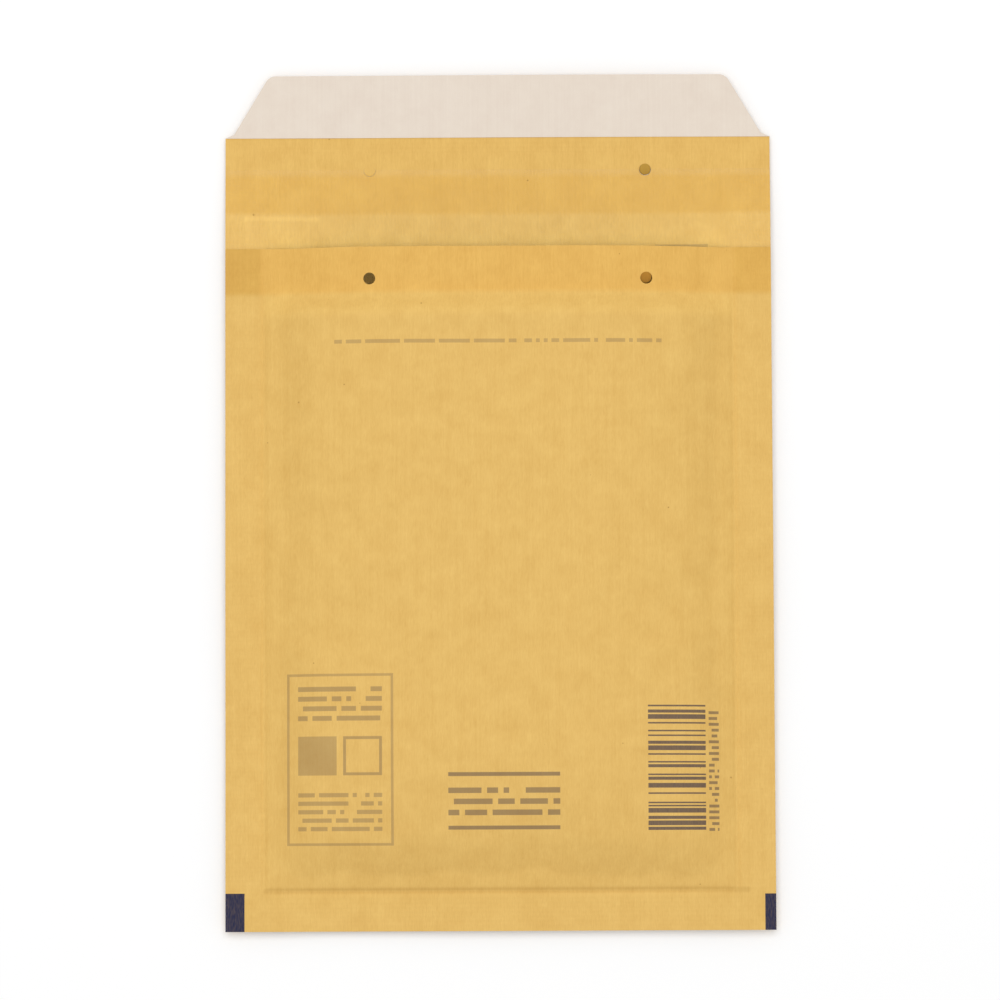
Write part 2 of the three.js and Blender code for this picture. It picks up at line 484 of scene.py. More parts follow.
# %% [markdown]
# ## Back sheet, flap and lining
# The back sheet is longer than the front one by the flap. Its last part steps in a little and narrows to
# the tip, and the corners of the tip are cut round. The bubbles under it press their pattern the other
# way, down.

# %% Outline of the flap
TIP_INSET = 13.8 * MM
TIP_STEP = 2 * MM
STEP_LENGTH = 1.2 * MM
TIP_ROUND = 1.6 * MM


def half_width(y):
    """Half the sheet's width at a place along it, with the flap's step, taper and round corners."""
    step = TIP_STEP * np.clip((y - TAPER_Y) / STEP_LENGTH, 0, 1)
    taper = (TIP_INSET - TIP_STEP) * np.clip((y - TAPER_Y) / (END_Y - TAPER_Y), 0, 1)
    into_corner = np.clip((y - END_Y + TIP_ROUND) / TIP_ROUND, 0, 1)
    return HALF_WIDTH - step - taper - TIP_ROUND * (1 - np.sqrt(1 - into_corner**2))


flap_lines = grid_lines(TAPER_Y, (TAPER_Y + STEP_LENGTH, 2), (END_Y - TIP_ROUND, 10), (END_Y, 5))
back_rows = np.concatenate([
    front_rows,
    grid_lines(MOUTH_Y, (FOLD_Y, 10), (FILM_END_Y, 10), (TAPER_Y, 7))[1:],
    flap_lines[1:],
])
print("back sheet's rows:", len(back_rows))

# %% Back sheet
back_x, back_y = np.meshgrid(columns, back_rows)
back_z = back_under(back_x, back_y) + PAPER / 2
back_base = np.stack([back_x * half_width(back_y) / HALF_WIDTH, back_y, back_z], axis=2)
back_normals = normals_of(back_base)
back_dome = bubble_dome(back_x, back_y)
back_paper = back_base + back_normals * (pressed(back_x, back_y, FOLD_Y) * (1 - back_dome))[..., None]
back_sheet = paper_sheet("kraft_back", back_paper, back_normals)
print("back sheet's top in mm:", back_paper[..., 2].max() / MM)

# %% Back lining
film_count = int(np.sum(back_rows < FILM_END_Y + TINY))
lined = slice(0, film_count)
thickness = lining_thickness(back_x[lined], back_y[lined], FOLD_Y)
to_dome = film_gap + (thickness - FLAT_FILM) * (1 - back_dome[lined])
back_lining = two_sided(
    "bubbles_back",
    back_base[lined] + back_normals[lined] * (film_gap + thickness)[..., None],
    back_base[lined] + back_normals[lined] * to_dome[..., None],
)
print("back lining's rows:", film_count)

# %% [markdown]
# ## Sticky strip and release liner
# The flap's tip carries a strip of hot-melt glue, and a coated paper covers it until it is used. Both
# follow the flap's own waves, so they are built from the same heights.

# %% Strip and liner
STRIP_INSET = 3 * MM


def flap_layer(name, lines, inset, height, thickness):
    """A thin layer on the flap's tip, set in from its sides."""
    x, y = np.meshgrid(columns, lines)
    share = (half_width(y) - inset) / HALF_WIDTH
    z = back_under(x * share, y) + PAPER + height
    lower = np.stack([x * share, y, z], axis=2)
    return two_sided(name, lower + np.array([0, 0, thickness]), lower)


strip_lines = grid_lines(strip_low.y, (strip_high.y, 10))
adhesive_strip = flap_layer("sticky_strip", strip_lines, STRIP_INSET, LAYER_GAP, ADHESIVE)
release_liner = flap_layer("peel_off_liner", flap_lines, 0, 2 * LAYER_GAP + ADHESIVE, LINER_PAPER)
print("liner's rows:", len(flap_lines))

# %% [markdown]
# ## Punched holes
# Two round holes go through the front sheet near the mouth, and two more through the flap, where they
# meet the first pair when the envelope is closed. A Boolean with a cylinder cuts them.

# %% Holes
HOLE_RADIUS = 1.85 * MM
HOLE_SIDES = 40
PUNCH_LENGTH = 60 * MM
LEFT_HOLE_X = -40 * MM
RIGHT_HOLE_X = 46 * MM
FRONT_HOLE_Y = MOUTH_Y - 10 * MM
FLAP_HOLE_Y = FOLD_Y + 11.8 * MM


def punch(piece, x, y):
    """Cuts a round hole straight through a sheet."""
    deselect_all()
    bpy.ops.mesh.primitive_cylinder_add(
        vertices=HOLE_SIDES, radius=HOLE_RADIUS, depth=PUNCH_LENGTH, location=(x, y, 0)
    )
    cutter = bpy.context.object
    cut = piece.modifiers.new("hole", "BOOLEAN")
    cut.object = cutter
    cut.operation = "DIFFERENCE"
    cut.solver = "MANIFOLD"
    apply_modifier(piece, cut)
    bpy.data.objects.remove(cutter)


for x in (LEFT_HOLE_X, RIGHT_HOLE_X):
    punch(front_sheet, x, FRONT_HOLE_Y)
    punch(front_lining, x, FRONT_HOLE_Y)
    punch(back_sheet, x, FLAP_HOLE_Y)
    punch(back_lining, x, FLAP_HOLE_Y)
    print("holes punched at x =", x)

# %% Smooth shading
CRISP_ANGLE = math.radians(65)

for piece in (front_sheet, front_lining, back_sheet, back_lining, adhesive_strip, release_liner):
    select_only(piece)
    bpy.ops.object.shade_smooth_by_angle(angle=CRISP_ANGLE)
    print(piece.name, len(piece.data.polygons), "faces, with the cut edges left crisp")

# %% [markdown]
# ## Paper
# Kraft paper is a felt of wood fibres. Held to the light it is cloudy, the machine leaves fine streaks
# along the roll, and here and there a bit of bark shows as a fleck. The liner is paper too, so the grain
# is one node group that both use, each with its own colours. All patterns read Object coordinates, which
# are metres here: a noise of scale 1000 has features of about a millimetre.

# %% Node helpers


def place(tree, kind, sockets=(), **settings):
    """Adds a shader node, and sets its input sockets or links them."""
    node = tree.nodes.new("ShaderNode" + kind)
    for name, value in settings.items():
        setattr(node, name, value)
    for name, value in dict(sockets).items():
        if isinstance(value, bpy.types.NodeSocket):
            tree.links.new(value, node.inputs[name])
        else:
            node.inputs[name].default_value = value
    return node


def maths(tree, operation, *values):
    return place(tree, "Math", enumerate(values), operation=operation).outputs[0]


def blend(tree, kind, share, base, top):
    """The colour base with top over it."""
    node = place(tree, "Mix", {0: share, 6: base, 7: top}, data_type="RGBA", blend_type=kind)
    return node.outputs[2]


def bumped(tree, height, strength, distance):
    """A normal that follows the slopes of a height."""
    return place(tree, "Bump", {"Height": height, "Strength": strength, "Distance": distance}).outputs[0]


print("node helpers ready")

# %% Groups, materials and colours


def new_group(name, inputs, outputs):
    """A node group with number sockets; its tree, what it is given and what it gives."""
    tree = bpy.data.node_groups.new(name, "ShaderNodeTree")
    tree.interface.new_socket("Vector", in_out="INPUT", socket_type="NodeSocketVector")
    for label in inputs:
        tree.interface.new_socket(label, in_out="INPUT", socket_type="NodeSocketFloat")
    for label in outputs:
        tree.interface.new_socket(label, in_out="OUTPUT", socket_type="NodeSocketFloat")
    return tree, tree.nodes.new("NodeGroupInput").outputs, tree.nodes.new("NodeGroupOutput").inputs


def new_material(name):
    """A material, its node tree and its shader."""
    material = bpy.data.materials.new(name)
    material.use_nodes = True
    return material, material.node_tree, material.node_tree.nodes["Principled BSDF"]


def feed(tree, shader, values):
    """Links each value to the shader's socket of that name."""
    for name, value in values.items():
        tree.links.new(value, shader.inputs[name])


def colour(red, green, blue):
    """A colour as seen on screen, from 0 to 255, in the numbers that a shader works with."""
    shares = [value / 255 for value in (red, green, blue)]
    return (*(s / 12.92 if s < 0.04 else ((s + 0.055) / 1.055) ** 2.4 for s in shares), 1)


print("kraft in shader numbers:", colour(229, 189, 109))

# %% Clouds, streaks and fibres
FIBRE_TURNS = (28, -47, 80)
FIBRE_SCALE = (3600, 520, 900)
STREAK_SCALE = (1500, 22, 300)

grain, given, gives = new_group("paper grain", [], ["Clouds", "Streaks", "Fibres", "Flecks"])
spot = given["Vector"]
clouds = place(grain, "TexNoise", {"Vector": spot, "Scale": 150, "Detail": 4, "Roughness": 0.6})
grain.links.new(clouds.outputs[0], gives["Clouds"])
along_roll = place(grain, "Mapping", {"Vector": spot, "Scale": STREAK_SCALE})
streaks = place(grain, "TexNoise", {"Vector": along_roll.outputs[0], "Scale": 1, "Detail": 2})
grain.links.new(streaks.outputs[0], gives["Streaks"])
felt = 0
for turn in FIBRE_TURNS:
    lie = place(grain, "Mapping", {
        "Vector": spot, "Rotation": (0, 0, math.radians(turn)), "Scale": FIBRE_SCALE,
    })
    fibres = place(grain, "TexNoise", {"Vector": lie.outputs[0], "Scale": 1, "Detail": 1.5})
    felt = maths(grain, "ADD", felt, fibres.outputs[0])
grain.links.new(maths(grain, "MULTIPLY", felt, 1 / len(FIBRE_TURNS)), gives["Fibres"])
print(grain.name, len(grain.nodes), "nodes")

# %% Flecks of bark
FLECK_RARITY = 0.72
FLECK_GROWTH = 0.28
FLECK_EDGE = 0.03

bark = place(grain, "TexVoronoi", {"Vector": spot, "Scale": 210})
bark_random = place(grain, "SeparateColor", {"Color": bark.outputs["Color"]}).outputs[0]
bark_size = maths(grain, "MULTIPLY", maths(grain, "SUBTRACT", bark_random, FLECK_RARITY), FLECK_GROWTH)
fleck = place(grain, "MapRange", {
    "Value": maths(grain, "SUBTRACT", bark_size, bark.outputs["Distance"]),
    "From Min": 0, "From Max": FLECK_EDGE,
})
grain.links.new(fleck.outputs[0], gives["Flecks"])
print(grain.name, len(grain.nodes), "nodes with its flecks")

# %% [markdown]
# ## Welds and print
# Welds, print and the painted light and shade are fields on the paper, so one group makes a rectangle
# with soft edges, and others use it: a frame, bars of uneven width, and rows of short dashes. A round
# field does the same for the painted shade on the discs in the holes. The print says nothing: it only
# fills the places where a mailer is usually printed, in the navy ink of a single plate. In the bars every
# fourth step stays free, so that no bar is wider than three.

# %% Field with straight edges
EDGES = ["Left", "Right", "Bottom", "Top"]


def soft_edge(tree, inwards, blur):
    """From 0 outside an edge to 1 inside it, over the width of the blur."""
    return place(tree, "MapRange", {
        "Value": maths(tree, "DIVIDE", inwards, blur), "From Min": -0.5, "From Max": 0.5,
    }, interpolation_type="SMOOTHSTEP").outputs[0]


field, given, gives = new_group("field", EDGES + ["Blur"], ["Mask"])
axes = place(field, "SeparateXYZ", {"Vector": given["Vector"]}).outputs
mask = 1
for axis, edge, way in (("X", "Left", 1), ("X", "Right", -1), ("Y", "Bottom", 1), ("Y", "Top", -1)):
    inwards = maths(field, "MULTIPLY", maths(field, "SUBTRACT", axes[axis], given[edge]), way)
    mask = maths(field, "MULTIPLY", mask, soft_edge(field, inwards, given["Blur"]))
field.links.new(mask, gives["Mask"])
print(field.name, len(field.nodes), "nodes")

# %% Round field
round_field, given, gives = new_group("round field", EDGES + ["Blur"], ["Mask"])
axes = place(round_field, "SeparateXYZ", {"Vector": given["Vector"]}).outputs
squares = []
for axis, low, high in (("X", "Left", "Right"), ("Y", "Bottom", "Top")):
    middle = maths(round_field, "MULTIPLY", maths(round_field, "ADD", given[low], given[high]), 0.5)
    offset = maths(round_field, "SUBTRACT", axes[axis], middle)
    squares.append(maths(round_field, "MULTIPLY", offset, offset))
distance = maths(round_field, "SQRT", maths(round_field, "ADD", *squares))
breadth = maths(round_field, "SUBTRACT", given["Right"], given["Left"])
inwards = maths(round_field, "SUBTRACT", maths(round_field, "MULTIPLY", breadth, 0.5), distance)
round_field.links.new(soft_edge(round_field, inwards, given["Blur"]), gives["Mask"])
print(round_field.name, len(round_field.nodes), "nodes")

# %% Frame


def inner_field(tree, given, inset=None):
    """The field group inside another group, pulled in by a width where one is given."""
    sockets = {name: given[name] for name in ["Vector", "Blur"] + EDGES}
    if inset is not None:
        for name, way in (("Left", "ADD"), ("Right", "SUBTRACT"), ("Bottom", "ADD"), ("Top", "SUBTRACT")):
            sockets[name] = maths(tree, way, given[name], inset)
    return place(tree, "Group", sockets, node_tree=field).outputs[0]


frame_line, given, gives = new_group("frame line", EDGES + ["Blur", "Size"], ["Mask"])
inside = inner_field(frame_line, given, given["Size"])
ring = maths(frame_line, "SUBTRACT", inner_field(frame_line, given), inside)
frame_line.links.new(ring, gives["Mask"])
print(frame_line.name, len(frame_line.nodes), "nodes")

# %% Bars
BAR_GAPS = 0.4  # this share of the steps stays free by chance
FREE_STEP = 4


def steps_from(tree, given, axis, edge, size):
    """The number of the step, of a size, that a place falls in from an edge on."""
    axes = place(tree, "SeparateXYZ", {"Vector": given["Vector"]})
    offset = maths(tree, "SUBTRACT", axes.outputs[axis], given[edge])
    return maths(tree, "FLOOR", maths(tree, "DIVIDE", offset, size))


bars, given, gives = new_group("bars", EDGES + ["Blur", "Size"], ["Mask"])
step = steps_from(bars, given, "Y", "Bottom", given["Size"])
chance = place(bars, "TexWhiteNoise", {"W": step}, noise_dimensions="1D").outputs["Value"]
inked = maths(bars, "GREATER_THAN", chance, BAR_GAPS)
kept_free = maths(bars, "LESS_THAN", maths(bars, "MODULO", step, FREE_STEP), 0.5)
inked = maths(bars, "MULTIPLY", inked, maths(bars, "SUBTRACT", 1, kept_free))
bars.links.new(maths(bars, "MULTIPLY", inner_field(bars, given), inked), gives["Mask"])
print(bars.name, len(bars.nodes), "nodes")

# %% Dashes
DASH_GAPS = 0.24

dashes, given, gives = new_group("dashes", EDGES + ["Blur", "Size"], ["Mask"])
pitch = maths(dashes, "MULTIPLY", given["Size"], 2)
letter = place(dashes, "CombineXYZ", {
    "X": steps_from(dashes, given, "X", "Left", given["Size"]),
    "Y": steps_from(dashes, given, "Y", "Bottom", pitch),
}).outputs[0]
chance = place(dashes, "TexWhiteNoise", {"Vector": letter}, noise_dimensions="2D").outputs["Value"]
half_pitch = maths(dashes, "MODULO", steps_from(dashes, given, "Y", "Bottom", given["Size"]), 2)
on_line = maths(dashes, "LESS_THAN", half_pitch, 0.5)
worded = maths(dashes, "MULTIPLY", maths(dashes, "GREATER_THAN", chance, DASH_GAPS), on_line)
dashes.links.new(maths(dashes, "MULTIPLY", inner_field(dashes, given), worded), gives["Mask"])
print(dashes.name, len(dashes.nodes), "nodes")

# %% [markdown]
# ## Kraft
# The kraft is golden, and deeper in colour where a hot bar has pressed the film into it: along the mouth,
# on the flap, at the ends of the mouth where the welds meet the side seals, and in the grooves. The
# grooves are darkened further as painted shade of the crease, and inside the pocket the same tint is
# partly painted shade. Near the mouth and under the mouth's weld the paper is painted paler, as painted
# light that cancels shade. A pale streak is a painted highlight for glare on the film, and two of the
# discs in the holes carry painted shade. Each tint is a field that multiplies the colour, and the ribs
# of the bar are left in the seals as fine bumps. Sizes are in millimetres from the middle line and from
# the bottom edge, as on a cutting plan.

# %% Cutting plan
FLAP_BAR_DROP = 1.8  # the bar that welds the flap's film sits a little under its end
BEYOND = 90  # a line past the side edges
plan_seal = SEAL_X / MM
plan_bar = BOTTOM_SEAL / MM
plan_mouth = (MOUTH_Y - BOTTOM_Y) / MM
plan_weld = (WELD_Y - BOTTOM_Y) / MM
plan_film = (FILM_END_Y - BOTTOM_Y) / MM
plan_bar_low = (FOLD_Y - BOTTOM_Y) / MM - FLAP_BAR_DROP
plan_bar_high = plan_film - FLAP_BAR_DROP


def plan_field(tree, spot, group, left, right, bottom, top, blur, size=None):
    """A field's mask, from sizes in millimetres on the cutting plan."""
    sockets = {
        "Vector": spot,
        "Left": left * MM,
        "Right": right * MM,
        "Bottom": BOTTOM_Y + bottom * MM,
        "Top": BOTTOM_Y + top * MM,
        "Blur": blur * MM,
    }
    if size is not None:
        sockets["Size"] = size * MM
    return place(tree, "Group", sockets, node_tree=group).outputs[0]


print("mouth on the cutting plan in mm:", plan_mouth)

# %% Kraft's colour and ink
KRAFT_DEEP = colour(207, 160, 76)
KRAFT_PALE = colour(243, 204, 120)
BARK = colour(214, 204, 192)
INK = colour(30, 33, 66)
INK_BLUR = 0.15


def kraft_colour(tree, paper):
    """Golden paper with its grain and flecks."""
    tone = maths(tree, "MULTIPLY_ADD", paper["Clouds"], 0.5, -0.245)
    tone = maths(tree, "MULTIPLY_ADD", paper["Streaks"], 0.24, tone)
    tone = maths(tree, "MULTIPLY_ADD", paper["Fibres"], 0.75, tone)
    look = blend(tree, "MIX", tone, KRAFT_DEEP, KRAFT_PALE)
    return blend(tree, "MULTIPLY", paper["Flecks"], look, BARK)


def printed_over(tree, spot, paper, look, print_marks):
    """A colour with marks printed on it. The ink covers the fibres unevenly."""
    ink = 0
    for group, sizes, strength, size in print_marks:
        mask = plan_field(tree, spot, group, *sizes, INK_BLUR, size)
        ink = maths(tree, "MAXIMUM", ink, maths(tree, "MULTIPLY", mask, strength))
    cover = maths(tree, "MULTIPLY", ink, maths(tree, "MULTIPLY_ADD", paper["Fibres"], 0.45, 0.75))
    return blend(tree, "MIX", cover, look, INK)


print("ink in shader numbers:", INK)

# %% Kraft's bumps
SEAL_RIB = 1.4 * MM
RIB_HEIGHT = 0.45
RIB_MARGIN = 0.6
FREE_OF_RIBS = 30  # the flap has no ribs on this length from the mouth


def kraft_bumps(tree, spot, paper):
    """The normal of kraft paper: its grain, and the bar's ribs outside the padded part."""
    height = maths(tree, "MULTIPLY_ADD", paper["Clouds"], 0.5, paper["Fibres"])
    along = place(tree, "SeparateXYZ", {"Vector": spot}).outputs["Y"]
    ribs = maths(tree, "SINE", maths(tree, "MULTIPLY", along, 2 * math.pi / SEAL_RIB))
    side = plan_seal + RIB_MARGIN
    padded = plan_field(
        tree, spot, field, -side, side, plan_bar - RIB_MARGIN, plan_mouth + FREE_OF_RIBS, blur=0.5
    )
    sealed = maths(tree, "MULTIPLY_ADD", padded, -RIB_HEIGHT, RIB_HEIGHT)
    height = maths(tree, "MULTIPLY_ADD", ribs, sealed, height)
    return bumped(tree, height, 0.6, 0.05 * MM)


print("ribs in the bottom seal:", int(BOTTOM_SEAL / SEAL_RIB))

# %% Kraft material


def kraft_material(name, tints=(), print_marks=()):
    """Kraft paper with its tints (group, sizes, blur, tint), presses and painted light and shade, and marks
    in ink (group, sizes, strength, size).
    """
    material, tree, shader = new_material(name)
    spot = place(tree, "TexCoord").outputs["Object"]
    paper = place(tree, "Group", {"Vector": spot}, node_tree=grain).outputs
    look = kraft_colour(tree, paper)
    for group, sizes, blur, tint in tints:
        look = blend(tree, "MULTIPLY", plan_field(tree, spot, group, *sizes, blur), look, tint)
    if print_marks:
        look = printed_over(tree, spot, paper, look, print_marks)
    feed(tree, shader, {
        "Base Color": look,
        "Roughness": maths(tree, "MULTIPLY_ADD", paper["Fibres"], 0.25, 0.6),
        "Normal": kraft_bumps(tree, spot, paper),
    })
    shader.inputs["Specular IOR Level"].default_value = 0.35
    print(name, len(tree.nodes), "nodes")
    return material


# The bar's press in the groove, darkened further as painted shade of the crease between the padding and the
# bottom seal.
GROOVE_PRESS_AND_SHADE_TINT = (0.89, 0.87, 0.82, 1)
bottom_line = (field, (-plan_seal, plan_seal + 4, plan_bar - 0.8, plan_bar + 0.8), 1.0, GROOVE_PRESS_AND_SHADE_TINT)
plain_kraft = kraft_material("kraft_plain", [bottom_line])

# %% Kraft of the flap
BARE_TINT = (1.0, 0.98, 0.93, 1)
FLAP_WELD_TINT = (0.99, 0.93, 0.69, 1)
WELD_AND_POCKET_SHADE_TINT = (1.0, 0.93, 0.77, 1)
LOOSE_BAND_PAINTED_LIGHT = (1.05, 1.05, 1.01, 1)
MOUTH_PAINTED_LIGHT = (1.13, 1.14, 1.11, 1)
PAINTED_GLARE_TINT = (1.07, 1.09, 1.12, 1)
FLAP_HOLE_SHADE_TINT = (0.67, 0.62, 0.33, 1)


def hole_shade(x, y, tint):
    """A round field of painted shade over a disc that has been pushed into its hole."""
    plan_x, plan_y, radius = x / MM, (y - BOTTOM_Y) / MM, HOLE_RADIUS / MM
    return round_field, (plan_x - radius, plan_x + radius, plan_y - radius, plan_y + radius), 0.1, tint


flap_tints = [
    (field, (-BEYOND, BEYOND, plan_bar_high, plan_film + 40), 2.2, BARE_TINT),
    (field, (-BEYOND, BEYOND, plan_bar_low, plan_bar_high), 2.2, FLAP_WELD_TINT),
    # Inside the pocket the weld's tint is partly painted shade: it deepens the paper that shows, shaded,
    # through the front holes.
    (field, (-BEYOND, BEYOND, -5, plan_mouth - 8), 4, WELD_AND_POCKET_SHADE_TINT),
    # Painted light: the band between the mouth and the flap's weld is brightened to cancel the shade that
    # the mouth's lip casts on it.
    (field, (-BEYOND, BEYOND, plan_mouth - 8, plan_bar_low), 2.2, LOOSE_BAND_PAINTED_LIGHT),
    # Painted light: a soft brightening near the middle of the mouth that cancels the contact shadow of the
    # open mouth's lip.
    (field, (-70, 70, plan_mouth - 12, plan_mouth + 4.5), 11, MOUTH_PAINTED_LIGHT),
    # Painted highlight: a pale streak on the paper that stands for glare on the film near the left end of
    # the flap's weld.
    (field, (-79, -56, plan_bar_low - 2.2, plan_bar_low - 0.9), 1.0, PAINTED_GLARE_TINT),
    # Painted shade: the flap's right disc is darkened as if it lay in the shadow of its hole.
    hole_shade(RIGHT_HOLE_X, FLAP_HOLE_Y, FLAP_HOLE_SHADE_TINT),
]
# A thin dark line in the ink's colour just above the mouth's edge, on the right.
flap_marks = [(field, (49, 65.5, plan_mouth + 0.3, plan_mouth + 1.3), 0.26, None)]
flap_kraft = kraft_material("kraft_flap", flap_tints, flap_marks)

# %% Presses of the front
UNDER_WELD_PAINTED_LIGHT = (1.05, 1.06, 1.06, 1)
CORNER_TINT = (0.9, 0.885, 0.79, 1)
FAINT_CORNER_TINT = (0.94, 0.92, 0.82, 1)
FRONT_HOLE_SHADE_TINT = (0.6, 0.47, 0.2, 1)

front_tints = [
    bottom_line,
    # Painted light: the slope of the padding just under the mouth's weld is brightened, as if lit from the
    # flap's side.
    (field, (-plan_seal, plan_seal, plan_weld - 8, plan_weld - 0.8), 4, UNDER_WELD_PAINTED_LIGHT),
    (field, (-BEYOND, BEYOND, plan_weld - 0.8, plan_mouth + 2), 2.4, WELD_AND_POCKET_SHADE_TINT),
    (field, (-BEYOND, -plan_seal - 1, plan_weld - 1.2, plan_mouth + 2), 2.4, CORNER_TINT),
    (field, (plan_seal + 0.5, BEYOND, plan_weld - 0.8, plan_mouth + 2), 2.8, FAINT_CORNER_TINT),
    # Painted shade: the front's right disc, hanging into the pocket, is darkened as if in the pocket's
    # shadow.
    hole_shade(RIGHT_HOLE_X, FRONT_HOLE_Y, FRONT_HOLE_SHADE_TINT),
]
print("presses on the front:", len(front_tints))

# %% Print of the front


def dash_rows(left, right, bottom, rows, size, strength):
    """A mark of rows of dashes, each row one size high with a gap of one size over it."""
    return dashes, (left, right, bottom, bottom + (2 * rows - 1) * size), strength, size


print_marks = [
    (field, (-86, -79.1, -1, 11.8), 1, None),
    (field, (81.6, 86, -1, 11.2), 1, None),
    dash_rows(-50.8, 50.5, 181.4, 1, 1.2, 0.3),
    (frame_line, (-65.8, -32.8, 26.4, 79.3), 0.32, 0.8),
    dash_rows(-62.3, -36.3, 64.8, 4, 1.5, 0.4),
    (field, (-62.3, -50.3, 48, 60), 0.34, None),
    (frame_line, (-48.3, -36.3, 48, 60), 0.4, 0.9),
    dash_rows(-62.3, -36.3, 30.9, 5, 1.3, 0.36),
    (field, (-16, 18.4, 47.6, 48.8), 0.6, None),
    dash_rows(-16, 18.4, 35.6, 3, 1.7, 0.55),
    (field, (-16, 18.4, 31.2, 32.4), 0.6, None),
    (bars, (45.5, 63.4, 29.9, 69.3), 0.8, 0.48),
    dash_rows(64.4, 67.6, 30.5, 21, 0.9, 0.6),
]
printed_kraft = kraft_material("kraft_printed", front_tints, print_marks)

# %% [markdown]
# ## Film, liner and glue
# The film is clear and thin. Seen from straight above it only veils the paper a little, and at a flat
# angle it shines, so its Alpha rises with Layer Weight. The liner is a smooth coated paper, and the glue
# a pale hot melt with a wet gloss.

# %% Film material
film, tree, shader = new_material("clear_film")
shader.inputs["Base Color"].default_value = colour(244, 243, 238)
spot = place(tree, "TexCoord").outputs["Object"]
crinkle = place(
    tree, "TexNoise", {"Vector": spot, "Scale": 260, "Detail": 3, "Distortion": 0.8}
).outputs[0]
edge_on = place(tree, "LayerWeight", {"Blend": 0.35}).outputs["Facing"]
veil = maths(tree, "MULTIPLY_ADD", maths(tree, "POWER", edge_on, 3), 0.4, 0.004)
feed(tree, shader, {
    "Alpha": maths(tree, "MULTIPLY_ADD", crinkle, 0.012, veil),
    "Roughness": maths(tree, "MULTIPLY_ADD", crinkle, 0.25, 0.1),
    "Normal": bumped(tree, crinkle, 0.5, 0.15 * MM),
})
print(film.name, len(tree.nodes), "nodes")

# %% Liner material
LINER_DEEP = colour(217, 201, 185)
LINER_PALE = colour(231, 219, 204)

coated, tree, shader = new_material("liner_paper")
spot = place(tree, "TexCoord").outputs["Object"]
paper = place(tree, "Group", {"Vector": spot}, node_tree=grain).outputs
tone = maths(tree, "MULTIPLY_ADD", paper["Clouds"], 0.9, -0.3)
tone = maths(tree, "MULTIPLY_ADD", paper["Streaks"], 0.4, tone)
tone = maths(tree, "MULTIPLY_ADD", paper["Fibres"], 0.3, tone)
feed(tree, shader, {
    "Base Color": blend(tree, "MIX", tone, LINER_DEEP, LINER_PALE),
    "Roughness": maths(tree, "MULTIPLY_ADD", paper["Clouds"], 0.2, 0.3),
    "Normal": bumped(tree, paper["Clouds"], 0.4, 0.05 * MM),
})
shader.inputs["Specular IOR Level"].default_value = 0.35
print(coated.name, len(tree.nodes), "nodes")

# %% Glue material
GLUE_DEEP = colour(222, 188, 118)
GLUE_PALE = colour(240, 214, 160)
GLUE_STREAKS = (60, 1400, 300)

glue, tree, shader = new_material("hot_melt")
spot = place(tree, "TexCoord").outputs["Object"]
across = place(tree, "Mapping", {"Vector": spot, "Scale": GLUE_STREAKS}).outputs[0]
flow = place(tree, "TexNoise", {"Vector": across, "Scale": 1, "Detail": 3}).outputs[0]
feed(tree, shader, {
    "Base Color": blend(tree, "MIX", flow, GLUE_DEEP, GLUE_PALE),
    "Roughness": maths(tree, "MULTIPLY_ADD", flow, 0.2, 0.12),
    "Normal": bumped(tree, flow, 0.5, 0.05 * MM),
})
print(glue.name, len(tree.nodes), "nodes")

# %% Give each piece its materials
for piece, upper, lower in (
    (front_sheet, printed_kraft, plain_kraft),
    (back_sheet, flap_kraft, plain_kraft),
    (front_lining, film, film),
    (back_lining, film, film),
    (adhesive_strip, glue, glue),
    (release_liner, coated, coated),
):
    piece.material_slots[0].material = upper
    piece.material_slots[1].material = lower
    print(piece.name, [slot.material.name for slot in piece.material_slots])

# %% [markdown]
# ## Discs in the holes
# Three of the four punched discs still hang on by a bridge of paper at their far edge: one lies in its
# hole, and two have dropped open. Each is joined to its sheet, which is the same paper. That comes after
# the materials, because a join sorts the faces by the materials that the two meshes share.

# %% Hang a disc


def hang_disc(sheet, points, normals, x, y, cut, drop):
    """Leaves a disc in a sheet's hole, with a cut round it, turned down from the sheet by an angle."""
    radius = HOLE_RADIUS - cut / 2
    far_y = y + HOLE_RADIUS
    nearest = np.argmin(np.hypot(points[..., 0] - x, points[..., 1] - far_y))
    at, upwards = Vector(points.reshape(-1, 3)[nearest]), Vector(normals.reshape(-1, 3)[nearest])
    sink = ((x - at.x) * upwards.x + (far_y - at.y) * upwards.y) / upwards.z
    bridge = Vector((x, far_y, at.z - sink))
    turn = Vector((0, 0, 1)).rotation_difference(upwards) @ Quaternion((1, 0, 0), drop)
    deselect_all()
    bpy.ops.mesh.primitive_cylinder_add(
        vertices=HOLE_SIDES,
        radius=radius,
        depth=PAPER,
        location=bridge - turn @ Vector((0, radius, 0)),
        rotation=turn.to_euler(),
    )
    bpy.ops.object.transform_apply(location=True, rotation=True, scale=True)
    bpy.context.object.data.materials.append(sheet.material_slots[0].material)
    sheet.select_set(True)
    bpy.context.view_layer.objects.active = sheet
    bpy.ops.object.join()
    print(sheet.name, len(sheet.data.polygons), "faces with its disc")


print("hole's radius in mm:", HOLE_RADIUS / MM)

# %% Discs
FINE_CUT, WIDE_CUT, WIDEST_CUT = 0.08 * MM, 0.16 * MM, 0.2 * MM
FLAP_DROP, FRONT_DROP = math.radians(14), math.radians(24)

for x, cut, drop in ((LEFT_HOLE_X, FINE_CUT, 0), (RIGHT_HOLE_X, WIDE_CUT, FLAP_DROP)):
    hang_disc(back_sheet, back_paper, back_normals, x, FLAP_HOLE_Y, cut, drop)
hang_disc(front_sheet, front_paper, front_normals, RIGHT_HOLE_X, FRONT_HOLE_Y, WIDEST_CUT, FRONT_DROP)

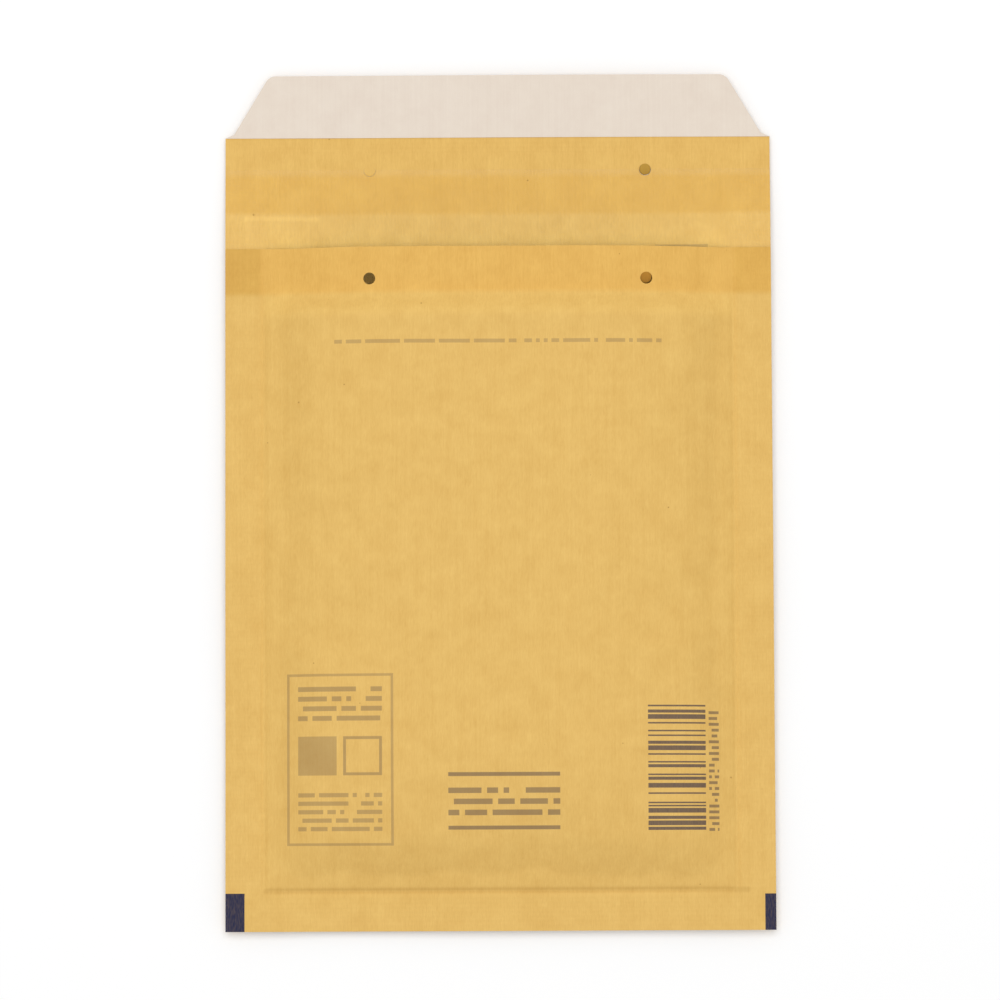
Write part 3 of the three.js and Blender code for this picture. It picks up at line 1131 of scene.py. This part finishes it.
# %% [markdown]
# ## Floor, light and camera
# The envelope lies on a plain white floor under a wide soft light from the flap's side. White walls all
# round would give as much light, so the world does that. Together they are at the level where a colour
# renders as it is written. The floor alone adds a little of its own light for the camera, to reach
# white, and keeps the envelope's shadow.

# %% Floor
FLOOR_SIZE = 6
FLOOR_DROP = 0.2 * MM
FLOOR_GLOW = 0.1

deselect_all()
bpy.ops.mesh.primitive_plane_add(size=FLOOR_SIZE, location=(0, 0, -FLOOR_DROP))
floor = bpy.context.object
floor.name = "floor"
floor_look, tree, shader = new_material("floor")
shader.inputs["Base Color"].default_value = (0.9, 0.9, 0.9, 1)
shader.inputs["Roughness"].default_value = 0.9
shader.inputs["Specular IOR Level"].default_value = 0
seen = place(tree, "LightPath").outputs
straight = maths(tree, "MAXIMUM", seen["Is Camera Ray"], seen["Is Glossy Ray"])
straight = maths(tree, "MAXIMUM", straight, seen["Is Transmission Ray"])
shader.inputs["Emission Color"].default_value = (1, 1, 1, 1)
feed(tree, shader, {"Emission Strength": maths(tree, "MULTIPLY", straight, FLOOR_GLOW)})
floor.data.materials.append(floor_look)
print("floor", FLOOR_DROP / MM, "mm under the envelope")

# %% World and light
WORLD_LEVEL = 0.55
LIGHT_PLACE = (-0.05, 0.27, 1.6)
LIGHT_TURN = (math.radians(-9.6), math.radians(-1.8), 0)
LIGHT_WATTS = 16
LIGHT_SIZE = 1.5

world = bpy.data.worlds.new("studio")
bpy.context.scene.world = world
world.use_nodes = True
world.node_tree.nodes["Background"].inputs["Color"].default_value = (1, 1, 1, 1)
world.node_tree.nodes["Background"].inputs["Strength"].default_value = WORLD_LEVEL

bpy.ops.object.light_add(type="AREA", location=LIGHT_PLACE)
light = bpy.context.object
light.data.energy = LIGHT_WATTS
light.data.size = LIGHT_SIZE
light.rotation_euler = LIGHT_TURN
print("light level: world", WORLD_LEVEL, "and an area light of", LIGHT_WATTS, "W")

# %% Camera
CAMERA_DISTANCE = 1.5
CAMERA_TILT = math.radians(4.2)
CAMERA_ROLL = math.radians(-0.25)
LOOK_AT = (-0.0002, 0.0, 0.004)
LENS = 174
SENSOR = 36

bpy.ops.object.camera_add(
    location=(
        LOOK_AT[0],
        LOOK_AT[1] - CAMERA_DISTANCE * math.sin(CAMERA_TILT),
        LOOK_AT[2] + CAMERA_DISTANCE * math.cos(CAMERA_TILT),
    ),
    rotation=(CAMERA_TILT, 0, CAMERA_ROLL),
)
camera = bpy.context.object
camera.data.lens = LENS
camera.data.sensor_width = SENSOR
bpy.context.scene.camera = camera
bpy.context.scene.view_settings.view_transform = "Standard"
print("camera at", list(camera.location))

# %% [markdown]
# ## Hand over
# Each piece takes the place of its CAD node and moves with the only body.

for piece, node, slot in (
    (front_sheet, "front_sheet", "kraft"),
    (back_sheet, "back_sheet", "kraft"),
    (front_lining, "front_lining", "bubble_film"),
    (back_lining, "back_lining", "bubble_film"),
    (adhesive_strip, "adhesive_strip", "adhesive"),
    (release_liner, "release_liner", "liner"),
):
    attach(piece, "root")
    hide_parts(node)
    print(piece.name, "stands for", node)
